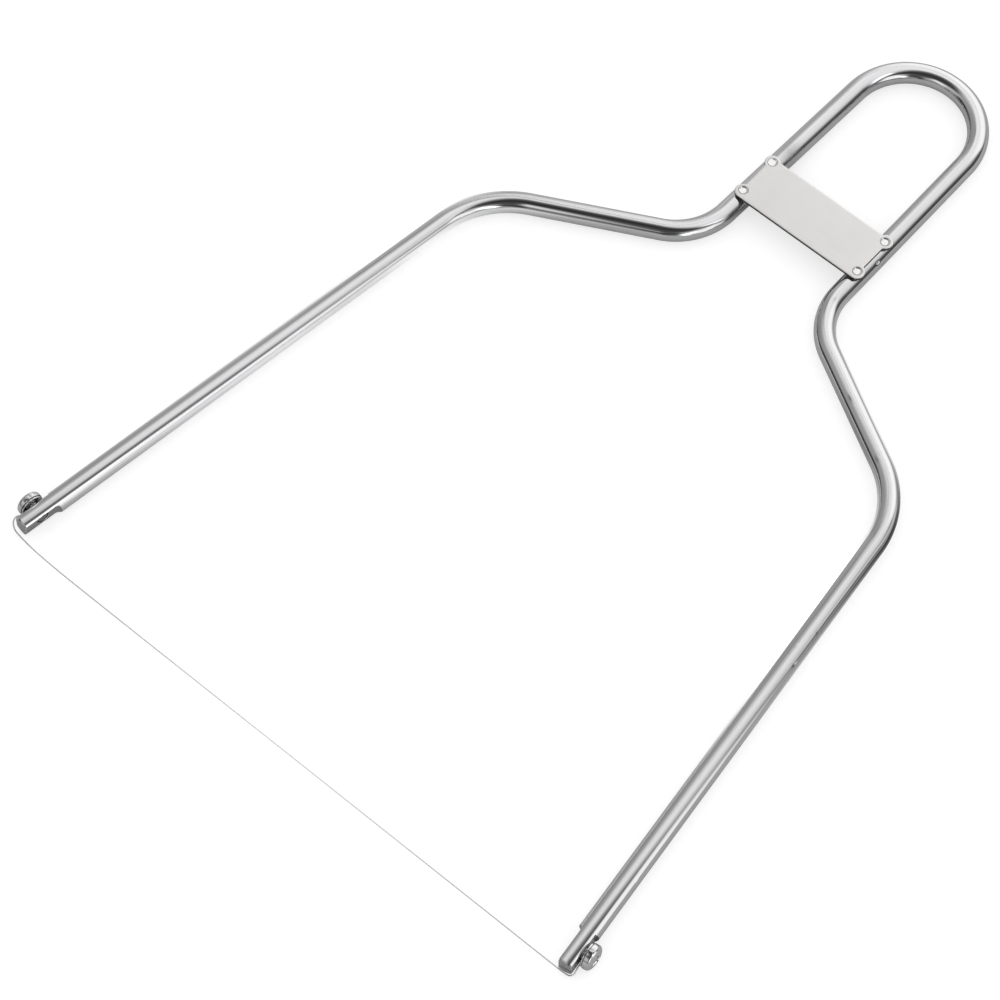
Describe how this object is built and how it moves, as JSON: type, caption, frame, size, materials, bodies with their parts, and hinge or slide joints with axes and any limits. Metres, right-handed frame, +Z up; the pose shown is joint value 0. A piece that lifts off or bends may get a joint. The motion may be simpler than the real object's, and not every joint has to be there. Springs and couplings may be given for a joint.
{
  "type": "wire_cheese_cutter",
  "caption": "Wire cheese cutter: a steel rod bent into a handle loop and two arms, braced by a riveted plate, with a cutting wire clamped between the arm ends.",
  "frame": {"origin": "middle of the box round the whole cutter, at its base", "axes": "+Y runs from the cutting wire to the handle loop, +Z up from the surface it lies on to the side the plate is on, +X to the right arm"},
  "size_m": [0.264, 0.3656, 0.0108],
  "materials": {
    "rod_steel": "polished stainless bar with faint drawing lines",
    "plate_steel": "satin stainless sheet, lightly mottled",
    "rivet_steel": "bright rivet heads",
    "wire_steel": "drawn stainless wire",
    "screw_steel": "bright screw and washer"
  },
  "bodies": {
    "frame": {"frame_rod": "rod_steel", "cross_plate": "plate_steel", "rivet_upper_left": "rivet_steel", "rivet_upper_right": "rivet_steel", "rivet_lower_left": "rivet_steel", "rivet_lower_right": "rivet_steel", "cutting_wire": "wire_steel"},
    "left_washer_body": {"left_washer": "screw_steel"},
    "left_screw_body": {"left_clamp_screw": "screw_steel"},
    "right_washer_body": {"right_washer": "screw_steel"},
    "right_screw_body": {"right_clamp_screw": "screw_steel"}
  },
  "joints": [
    {"name": "left_washer_slide", "type": "slide", "parent": "frame", "child": "left_washer_body", "axis": [-0.992, 0.1262, 0], "range_m": [0, 0.0016]},
    {"name": "left_screw_turn", "type": "hinge", "parent": "left_washer_body", "child": "left_screw_body", "pos_m": [-0.12397, -0.17369, 0.00475], "axis": [-0.992, 0.1262, 0], "range_deg": [0, 720]},
    {"name": "right_washer_slide", "type": "slide", "parent": "frame", "child": "right_washer_body", "axis": [0.992, 0.1262, 0], "range_m": [0, 0.0016]},
    {"name": "right_screw_turn", "type": "hinge", "parent": "right_washer_body", "child": "right_screw_body", "pos_m": [0.12397, -0.17369, 0.00475], "axis": [0.992, 0.1262, 0], "range_deg": [0, 720]}
  ],
  "couplings": [
    {"joint": "left_washer_slide", "follows": "left_screw_turn", "m_per_rad": 0.0001273},
    {"joint": "right_washer_slide", "follows": "right_screw_turn", "m_per_rad": 0.0001273}
  ]
}
